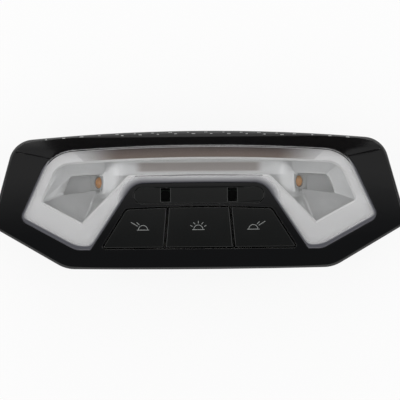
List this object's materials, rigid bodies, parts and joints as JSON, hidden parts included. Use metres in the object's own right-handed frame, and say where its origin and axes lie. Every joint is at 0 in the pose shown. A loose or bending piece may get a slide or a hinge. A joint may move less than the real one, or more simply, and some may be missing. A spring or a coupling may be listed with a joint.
{
  "type": "car dome light",
  "caption": "Overhead car dome light: black hexagonal bezel, clear horseshoe lens over faceted reading-lamp reflectors, sensor cover and push buttons, clip-in rear housing.",
  "frame": {"origin": "middle of the rear housing's back face, below the middle of the bezel", "axes": "+X along the lamp, +Y towards the edge with the arched lens band, +Z out of the front"},
  "size_m": [0.1973, 0.0664, 0.0355],
  "materials": {
    "black_gloss": "moulded black, satin gloss",
    "black_button": "fine-grain black with printed lamp symbols",
    "clear_polycarbonate": "clear, polished",
    "satin_silver": "silver-grey satin",
    "metallised": "metallised satin reflector",
    "black_housing": "matt black moulding",
    "natural_plastic": "natural white moulding",
    "board": "green solder mask",
    "component_black": "moulded component body",
    "amber": "amber phosphor dome",
    "white_led": "small white light source",
    "contact": "plated contact",
    "spring_steel": "bright spring steel",
    "screw_steel": "zinc-plated steel",
    "capsule_metal": "drawn aluminium can"
  },
  "bodies": {
    "lamp": {"bezel": "black_gloss", "lens": "clear_polycarbonate", "trim_frame": "satin_silver", "reflector": "metallised", "sensor_cover": "black_gloss", "sensor_board": "board", "sensor_header": "component_black", "sensor_pins": "contact", "sensor_capsule_left": "capsule_metal", "sensor_capsule_right": "capsule_metal", "button_guide": "natural_plastic", "circuit_board": "board", "button_backlights": "white_led", "control_chip": "component_black", "connector_shell": "black_housing", "connector_pins": "contact", "rear_housing": "black_housing", "housing_screws": "screw_steel", "led_board_left": "board", "led_board_right": "board", "reading_led_left": "amber", "reading_led_right": "amber", "switch_left": "component_black", "switch_centre": "component_black", "switch_right": "component_black", "spring_clip_upper_left": "spring_steel", "spring_clip_upper_right": "spring_steel", "spring_clip_lower_left": "spring_steel", "spring_clip_lower_right": "spring_steel"},
    "push_left": {"button_left": "black_button", "plunger_left": "natural_plastic"},
    "push_centre": {"button_centre": "black_button", "plunger_centre": "natural_plastic"},
    "push_right": {"button_right": "black_button", "plunger_right": "natural_plastic"}
  },
  "joints": [
    {"name": "button_left_press", "type": "slide", "parent": "lamp", "child": "push_left", "axis": [0, 0, -1], "range_m": [0, 0.0008], "stiffness_N_per_m": 1500, "springref_m": -0.0005},
    {"name": "button_centre_press", "type": "slide", "parent": "lamp", "child": "push_centre", "axis": [0, 0, -1], "range_m": [0, 0.0008], "stiffness_N_per_m": 1500, "springref_m": -0.0005},
    {"name": "button_right_press", "type": "slide", "parent": "lamp", "child": "push_right", "axis": [0, 0, -1], "range_m": [0, 0.0008], "stiffness_N_per_m": 1500, "springref_m": -0.0005}
  ]
}
